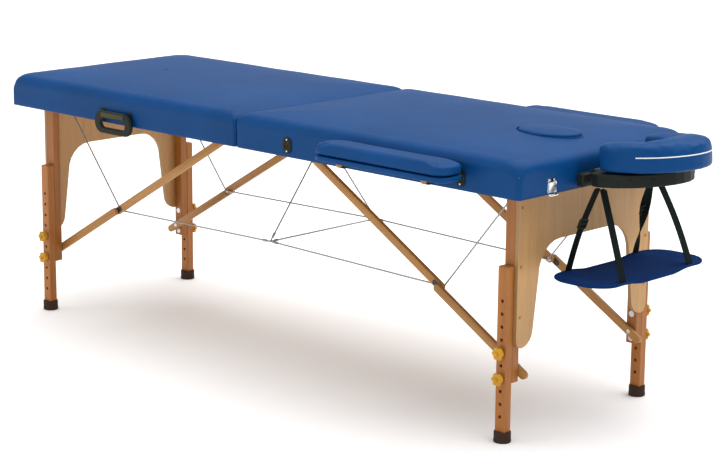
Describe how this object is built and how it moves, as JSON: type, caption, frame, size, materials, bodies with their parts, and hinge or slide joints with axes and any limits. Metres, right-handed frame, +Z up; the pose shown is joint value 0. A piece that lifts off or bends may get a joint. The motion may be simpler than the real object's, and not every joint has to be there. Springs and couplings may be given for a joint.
{
  "type": "portable massage table",
  "caption": "Blue portable massage table on folding beech legs, with a face cradle, hanging arm sling, side armrests and a plugged face hole.",
  "frame": {"origin": "on the floor, under the middle of the whole object's bounding box, with the cradle on and the table standing", "axes": "+X towards the head end with the face cradle, +Y towards the side without the carry handle, +Z up"},
  "size_m": [2.1318, 0.85, 0.7277],
  "materials": {
    "blue_vinyl": "satin",
    "foam": "matte",
    "plywood": "satin",
    "beech": "satin",
    "steel": "satin",
    "chrome": "polished",
    "black_rubber": "matte",
    "yellow_plastic": "satin",
    "black_plastic": "matte",
    "blue_fabric": "matte"
  },
  "bodies": {
    "foot_half": {"foot_cover": "blue_vinyl", "foot_foam": "foam", "foot_deck": "plywood", "foot_frame": "beech", "foot_leg_axle": "steel", "foot_hinge_leaf": "steel"},
    "centre_stay": {"centre_hinge_pin": "steel", "centre_rope": "steel", "foot_front_rope": "steel", "foot_back_rope": "steel", "head_front_rope": "steel", "head_back_rope": "steel"},
    "head_half": {"head_cover": "blue_vinyl", "head_foam": "foam", "head_deck": "plywood", "head_frame": "beech", "head_leg_axle": "steel", "head_hinge_leaf": "steel"},
    "foot_legs": {"foot_front_leg": "beech", "foot_back_leg": "beech", "foot_end_panel": "plywood"},
    "head_legs": {"head_front_leg": "beech", "head_back_leg": "beech", "head_end_panel": "plywood"},
    "foot_front_upper_brace": {"foot_front_upper_brace": "beech"},
    "foot_front_lower_brace": {"foot_front_lower_brace": "beech"},
    "foot_back_upper_brace": {"foot_back_upper_brace": "beech"},
    "foot_back_lower_brace": {"foot_back_lower_brace": "beech"},
    "head_front_upper_brace": {"head_front_upper_brace": "beech"},
    "head_front_lower_brace": {"head_front_lower_brace": "beech"},
    "head_back_upper_brace": {"head_back_upper_brace": "beech"},
    "head_back_lower_brace": {"head_back_lower_brace": "beech"},
    "foot_front_leg_extension": {"foot_front_leg_extension": "beech", "foot_front_foot": "black_rubber"},
    "foot_front_upper_knob": {"foot_front_upper_knob": "yellow_plastic"},
    "foot_front_lower_knob": {"foot_front_lower_knob": "yellow_plastic"},
    "foot_back_leg_extension": {"foot_back_leg_extension": "beech", "foot_back_foot": "black_rubber"},
    "foot_back_upper_knob": {"foot_back_upper_knob": "yellow_plastic"},
    "foot_back_lower_knob": {"foot_back_lower_knob": "yellow_plastic"},
    "head_front_leg_extension": {"head_front_leg_extension": "beech", "head_front_foot": "black_rubber"},
    "head_front_upper_knob": {"head_front_upper_knob": "yellow_plastic"},
    "head_front_lower_knob": {"head_front_lower_knob": "yellow_plastic"},
    "head_back_leg_extension": {"head_back_leg_extension": "beech", "head_back_foot": "black_rubber"},
    "head_back_upper_knob": {"head_back_upper_knob": "yellow_plastic"},
    "head_back_lower_knob": {"head_back_lower_knob": "yellow_plastic"},
    "face_hole_plug": {"face_hole_plug": "blue_vinyl"},
    "cradle_arms": {"cradle_arms": "black_plastic"},
    "cradle_head": {"cradle_plate": "black_plastic", "cradle_cushion": "blue_vinyl"},
    "arm_sling": {"arm_sling": "blue_fabric"},
    "front_armrest": {"front_armrest_pad": "blue_vinyl", "front_armrest_board": "black_plastic"},
    "back_armrest": {"back_armrest_pad": "blue_vinyl", "back_armrest_board": "black_plastic"},
    "carry_handle": {"carry_handle": "black_plastic"},
    "front_latch": {"front_latch": "chrome"},
    "back_latch": {"back_latch": "chrome"}
  },
  "joints": [
    {"name": "centre_fold", "type": "hinge", "parent": "foot_half", "child": "centre_stay", "pos_m": [-0.1359, 0, 0.591], "axis": [0, 1, 0], "range_deg": [0, 90], "deforming": ["foot_front_rope", "foot_back_rope", "head_front_rope", "head_back_rope", "centre_rope"]},
    {"name": "centre_close", "type": "hinge", "parent": "centre_stay", "child": "head_half", "pos_m": [-0.1359, 0, 0.591], "axis": [0, 1, 0], "range_deg": [0, 90]},
    {"name": "foot_leg_fold", "type": "hinge", "parent": "foot_half", "child": "foot_legs", "pos_m": [-0.9859, 0, 0.62], "axis": [0, -1, 0], "range_deg": [0, 90]},
    {"name": "head_leg_fold", "type": "hinge", "parent": "head_half", "child": "head_legs", "pos_m": [0.7141, 0, 0.62], "axis": [0, 1, 0], "range_deg": [0, 90]},
    {"name": "foot_front_upper_brace_turn", "type": "hinge", "parent": "foot_half", "child": "foot_front_upper_brace", "pos_m": [-0.2109, -0.21, 0.631], "axis": [0, 1, 0], "range_deg": [0, 30.53]},
    {"name": "foot_front_lower_brace_turn", "type": "hinge", "parent": "foot_legs", "child": "foot_front_lower_brace", "pos_m": [-0.9859, -0.2222, 0.174], "axis": [0, -1, 0], "range_deg": [0, 57.27]},
    {"name": "foot_back_upper_brace_turn", "type": "hinge", "parent": "foot_half", "child": "foot_back_upper_brace", "pos_m": [-0.2109, 0.21, 0.631], "axis": [0, 1, 0], "range_deg": [0, 30.53]},
    {"name": "foot_back_lower_brace_turn", "type": "hinge", "parent": "foot_legs", "child": "foot_back_lower_brace", "pos_m": [-0.9859, 0.2222, 0.174], "axis": [0, -1, 0], "range_deg": [0, 57.27]},
    {"name": "head_front_upper_brace_turn", "type": "hinge", "parent": "head_half", "child": "head_front_upper_brace", "pos_m": [-0.0609, -0.21, 0.631], "axis": [0, -1, 0], "range_deg": [0, 30.53]},
    {"name": "head_front_lower_brace_turn", "type": "hinge", "parent": "head_legs", "child": "head_front_lower_brace", "pos_m": [0.7141, -0.2222, 0.174], "axis": [0, 1, 0], "range_deg": [0, 57.27]},
    {"name": "head_back_upper_brace_turn", "type": "hinge", "parent": "head_half", "child": "head_back_upper_brace", "pos_m": [-0.0609, 0.21, 0.631], "axis": [0, -1, 0], "range_deg": [0, 30.53]},
    {"name": "head_back_lower_brace_turn", "type": "hinge", "parent": "head_legs", "child": "head_back_lower_brace", "pos_m": [0.7141, 0.2222, 0.174], "axis": [0, 1, 0], "range_deg": [0, 57.27]},
    {"name": "foot_front_height_slide", "type": "slide", "parent": "foot_legs", "child": "foot_front_leg_extension", "axis": [0, 0, -1], "range_m": [-0.093, 0.124]},
    {"name": "foot_front_upper_knob_turn", "type": "hinge", "parent": "foot_legs", "child": "foot_front_upper_knob", "pos_m": [-0.9859, -0.2755, 0.2175], "axis": [0, 1, 0], "continuous": true},
    {"name": "foot_front_lower_knob_turn", "type": "hinge", "parent": "foot_legs", "child": "foot_front_lower_knob", "pos_m": [-0.9859, -0.2755, 0.1555], "axis": [0, 1, 0], "continuous": true},
    {"name": "foot_back_height_slide", "type": "slide", "parent": "foot_legs", "child": "foot_back_leg_extension", "axis": [0, 0, -1], "range_m": [-0.093, 0.124]},
    {"name": "foot_back_upper_knob_turn", "type": "hinge", "parent": "foot_legs", "child": "foot_back_upper_knob", "pos_m": [-0.9859, 0.2755, 0.2175], "axis": [0, 1, 0], "continuous": true},
    {"name": "foot_back_lower_knob_turn", "type": "hinge", "parent": "foot_legs", "child": "foot_back_lower_knob", "pos_m": [-0.9859, 0.2755, 0.1555], "axis": [0, 1, 0], "continuous": true},
    {"name": "head_front_height_slide", "type": "slide", "parent": "head_legs", "child": "head_front_leg_extension", "axis": [0, 0, -1], "range_m": [-0.093, 0.124]},
    {"name": "head_front_upper_knob_turn", "type": "hinge", "parent": "head_legs", "child": "head_front_upper_knob", "pos_m": [0.7141, -0.2755, 0.2175], "axis": [0, 1, 0], "continuous": true},
    {"name": "head_front_lower_knob_turn", "type": "hinge", "parent": "head_legs", "child": "head_front_lower_knob", "pos_m": [0.7141, -0.2755, 0.1555], "axis": [0, 1, 0], "continuous": true},
    {"name": "head_back_height_slide", "type": "slide", "parent": "head_legs", "child": "head_back_leg_extension", "axis": [0, 0, -1], "range_m": [-0.093, 0.124]},
    {"name": "head_back_upper_knob_turn", "type": "hinge", "parent": "head_legs", "child": "head_back_upper_knob", "pos_m": [0.7141, 0.2755, 0.2175], "axis": [0, 1, 0], "continuous": true},
    {"name": "head_back_lower_knob_turn", "type": "hinge", "parent": "head_legs", "child": "head_back_lower_knob", "pos_m": [0.7141, 0.2755, 0.1555], "axis": [0, 1, 0], "continuous": true},
    {"name": "plug_lift", "type": "slide", "parent": "head_half", "child": "face_hole_plug", "axis": [0, 0, 1], "range_m": [0, 0.1]},
    {"name": "cradle_slide", "type": "slide", "parent": "head_half", "child": "cradle_arms", "axis": [1, 0, 0], "range_m": [0, 0.045]},
    {"name": "cradle_tilt", "type": "hinge", "parent": "cradle_arms", "child": "cradle_head", "pos_m": [0.8221, 0, 0.637], "axis": [0, -1, 0], "range_deg": [0, 30]},
    {"name": "sling_swing", "type": "hinge", "parent": "cradle_head", "child": "arm_sling", "pos_m": [0.8561, 0, 0.6015], "axis": [0, -1, 0], "range_deg": [0, 25]},
    {"name": "front_armrest_slide", "type": "slide", "parent": "head_half", "child": "front_armrest", "axis": [0, -1, 0], "range_m": [0, 0.018]},
    {"name": "back_armrest_slide", "type": "slide", "parent": "head_half", "child": "back_armrest", "axis": [0, 1, 0], "range_m": [0, 0.018]},
    {"name": "carry_handle_swing", "type": "hinge", "parent": "foot_half", "child": "carry_handle", "pos_m": [-0.6034, -0.333, 0.6215], "axis": [-1, 0, 0], "range_deg": [0, 90]},
    {"name": "front_latch_swing", "type": "hinge", "parent": "head_half", "child": "front_latch", "pos_m": [0.7971, -0.207, 0.6225], "axis": [0, -1, 0], "range_deg": [0, 90]},
    {"name": "back_latch_swing", "type": "hinge", "parent": "head_half", "child": "back_latch", "pos_m": [0.7971, 0.207, 0.6225], "axis": [0, -1, 0], "range_deg": [0, 90]}
  ],
  "couplings": [
    {"joint": "foot_leg_fold", "follows": "centre_fold", "ratio": 1},
    {"joint": "head_leg_fold", "follows": "centre_fold", "ratio": 1},
    {"joint": "foot_front_upper_brace_turn", "follows": "centre_fold", "ratio": 0.33919},
    {"joint": "foot_front_lower_brace_turn", "follows": "centre_fold", "ratio": 0.63627},
    {"joint": "foot_back_upper_brace_turn", "follows": "centre_fold", "ratio": 0.33919},
    {"joint": "foot_back_lower_brace_turn", "follows": "centre_fold", "ratio": 0.63627},
    {"joint": "head_front_upper_brace_turn", "follows": "centre_fold", "ratio": 0.33919},
    {"joint": "head_front_lower_brace_turn", "follows": "centre_fold", "ratio": 0.63627},
    {"joint": "head_back_upper_brace_turn", "follows": "centre_fold", "ratio": 0.33919},
    {"joint": "head_back_lower_brace_turn", "follows": "centre_fold", "ratio": 0.63627}
  ]
}
